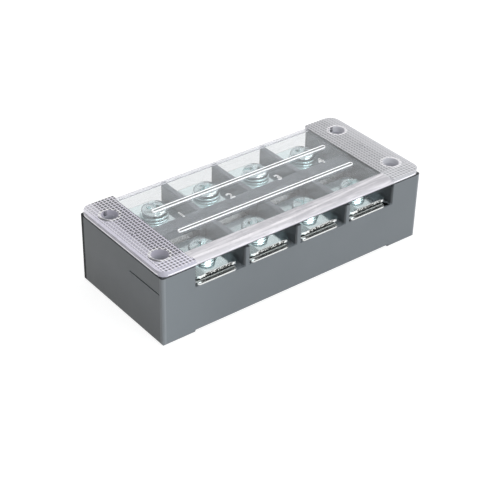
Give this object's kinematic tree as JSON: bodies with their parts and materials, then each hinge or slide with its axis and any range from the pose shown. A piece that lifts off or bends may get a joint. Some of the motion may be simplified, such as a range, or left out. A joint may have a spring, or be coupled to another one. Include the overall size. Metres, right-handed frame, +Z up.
{
  "type": "barrier terminal strip",
  "caption": "Barrier terminal strip: grey moulded base with clamp plates and screws over bus bars in open compartments, under a clear clip-on cover with a label field.",
  "frame": {"origin": "middle of the footprint, at the height of the feet", "axes": "+X along the row of poles, -Y towards the front row of screws, +Z up through the cover"},
  "size_m": [0.088, 0.038, 0.023],
  "materials": {
    "base_plastic": "satin moulded",
    "clear_plastic": "clear moulded",
    "bar_metal": "nickel plated",
    "zinc_steel": "bright zinc plated"
  },
  "bodies": {
    "base_body": {"base": "base_plastic", "bus_bar_1": "bar_metal", "bus_bar_2": "bar_metal", "bus_bar_3": "bar_metal", "bus_bar_4": "bar_metal"},
    "cover_body": {"cover": "clear_plastic"},
    "front_clamp_1": {"front_clamp_plate_1": "zinc_steel", "front_spring_washer_1": "zinc_steel"},
    "front_screw_body_1": {"front_screw_1": "zinc_steel"},
    "front_clamp_2": {"front_clamp_plate_2": "zinc_steel", "front_spring_washer_2": "zinc_steel"},
    "front_screw_body_2": {"front_screw_2": "zinc_steel"},
    "front_clamp_3": {"front_clamp_plate_3": "zinc_steel", "front_spring_washer_3": "zinc_steel"},
    "front_screw_body_3": {"front_screw_3": "zinc_steel"},
    "front_clamp_4": {"front_clamp_plate_4": "zinc_steel", "front_spring_washer_4": "zinc_steel"},
    "front_screw_body_4": {"front_screw_4": "zinc_steel"},
    "rear_clamp_1": {"rear_clamp_plate_1": "zinc_steel", "rear_spring_washer_1": "zinc_steel"},
    "rear_screw_body_1": {"rear_screw_1": "zinc_steel"},
    "rear_clamp_2": {"rear_clamp_plate_2": "zinc_steel", "rear_spring_washer_2": "zinc_steel"},
    "rear_screw_body_2": {"rear_screw_2": "zinc_steel"},
    "rear_clamp_3": {"rear_clamp_plate_3": "zinc_steel", "rear_spring_washer_3": "zinc_steel"},
    "rear_screw_body_3": {"rear_screw_3": "zinc_steel"},
    "rear_clamp_4": {"rear_clamp_plate_4": "zinc_steel", "rear_spring_washer_4": "zinc_steel"},
    "rear_screw_body_4": {"rear_screw_4": "zinc_steel"}
  },
  "joints": [
    {"name": "cover_lift", "type": "slide", "parent": "base_body", "child": "cover_body", "axis": [0, 0, 1], "range_m": [0, 0.012]},
    {"name": "front_clamp_rise_1", "type": "slide", "parent": "base_body", "child": "front_clamp_1", "axis": [0, 0, 1], "range_m": [0, 0.00105]},
    {"name": "front_screw_turn_1", "type": "hinge", "parent": "front_clamp_1", "child": "front_screw_body_1", "pos_m": [-0.0258, -0.0109, 0.01756], "axis": [0, 0, 1], "range_deg": [0, 540]},
    {"name": "front_clamp_rise_2", "type": "slide", "parent": "base_body", "child": "front_clamp_2", "axis": [0, 0, 1], "range_m": [0, 0.00105]},
    {"name": "front_screw_turn_2", "type": "hinge", "parent": "front_clamp_2", "child": "front_screw_body_2", "pos_m": [-0.0086, -0.0109, 0.01756], "axis": [0, 0, 1], "range_deg": [0, 540]},
    {"name": "front_clamp_rise_3", "type": "slide", "parent": "base_body", "child": "front_clamp_3", "axis": [0, 0, 1], "range_m": [0, 0.00105]},
    {"name": "front_screw_turn_3", "type": "hinge", "parent": "front_clamp_3", "child": "front_screw_body_3", "pos_m": [0.0086, -0.0109, 0.01756], "axis": [0, 0, 1], "range_deg": [0, 540]},
    {"name": "front_clamp_rise_4", "type": "slide", "parent": "base_body", "child": "front_clamp_4", "axis": [0, 0, 1], "range_m": [0, 0.00105]},
    {"name": "front_screw_turn_4", "type": "hinge", "parent": "front_clamp_4", "child": "front_screw_body_4", "pos_m": [0.0258, -0.0109, 0.01756], "axis": [0, 0, 1], "range_deg": [0, 540]},
    {"name": "rear_clamp_rise_1", "type": "slide", "parent": "base_body", "child": "rear_clamp_1", "axis": [0, 0, 1], "range_m": [0, 0.00105]},
    {"name": "rear_screw_turn_1", "type": "hinge", "parent": "rear_clamp_1", "child": "rear_screw_body_1", "pos_m": [-0.0258, 0.0109, 0.01756], "axis": [0, 0, 1], "range_deg": [0, 540]},
    {"name": "rear_clamp_rise_2", "type": "slide", "parent": "base_body", "child": "rear_clamp_2", "axis": [0, 0, 1], "range_m": [0, 0.00105]},
    {"name": "rear_screw_turn_2", "type": "hinge", "parent": "rear_clamp_2", "child": "rear_screw_body_2", "pos_m": [-0.0086, 0.0109, 0.01756], "axis": [0, 0, 1], "range_deg": [0, 540]},
    {"name": "rear_clamp_rise_3", "type": "slide", "parent": "base_body", "child": "rear_clamp_3", "axis": [0, 0, 1], "range_m": [0, 0.00105]},
    {"name": "rear_screw_turn_3", "type": "hinge", "parent": "rear_clamp_3", "child": "rear_screw_body_3", "pos_m": [0.0086, 0.0109, 0.01756], "axis": [0, 0, 1], "range_deg": [0, 540]},
    {"name": "rear_clamp_rise_4", "type": "slide", "parent": "base_body", "child": "rear_clamp_4", "axis": [0, 0, 1], "range_m": [0, 0.00105]},
    {"name": "rear_screw_turn_4", "type": "hinge", "parent": "rear_clamp_4", "child": "rear_screw_body_4", "pos_m": [0.0258, 0.0109, 0.01756], "axis": [0, 0, 1], "range_deg": [0, 540]}
  ],
  "couplings": [
    {"joint": "front_screw_turn_1", "follows": "front_clamp_rise_1", "rad_per_m": 8976},
    {"joint": "front_screw_turn_2", "follows": "front_clamp_rise_2", "rad_per_m": 8976},
    {"joint": "front_screw_turn_3", "follows": "front_clamp_rise_3", "rad_per_m": 8976},
    {"joint": "front_screw_turn_4", "follows": "front_clamp_rise_4", "rad_per_m": 8976},
    {"joint": "rear_screw_turn_1", "follows": "rear_clamp_rise_1", "rad_per_m": 8976},
    {"joint": "rear_screw_turn_2", "follows": "rear_clamp_rise_2", "rad_per_m": 8976},
    {"joint": "rear_screw_turn_3", "follows": "rear_clamp_rise_3", "rad_per_m": 8976},
    {"joint": "rear_screw_turn_4", "follows": "rear_clamp_rise_4", "rad_per_m": 8976}
  ]
}
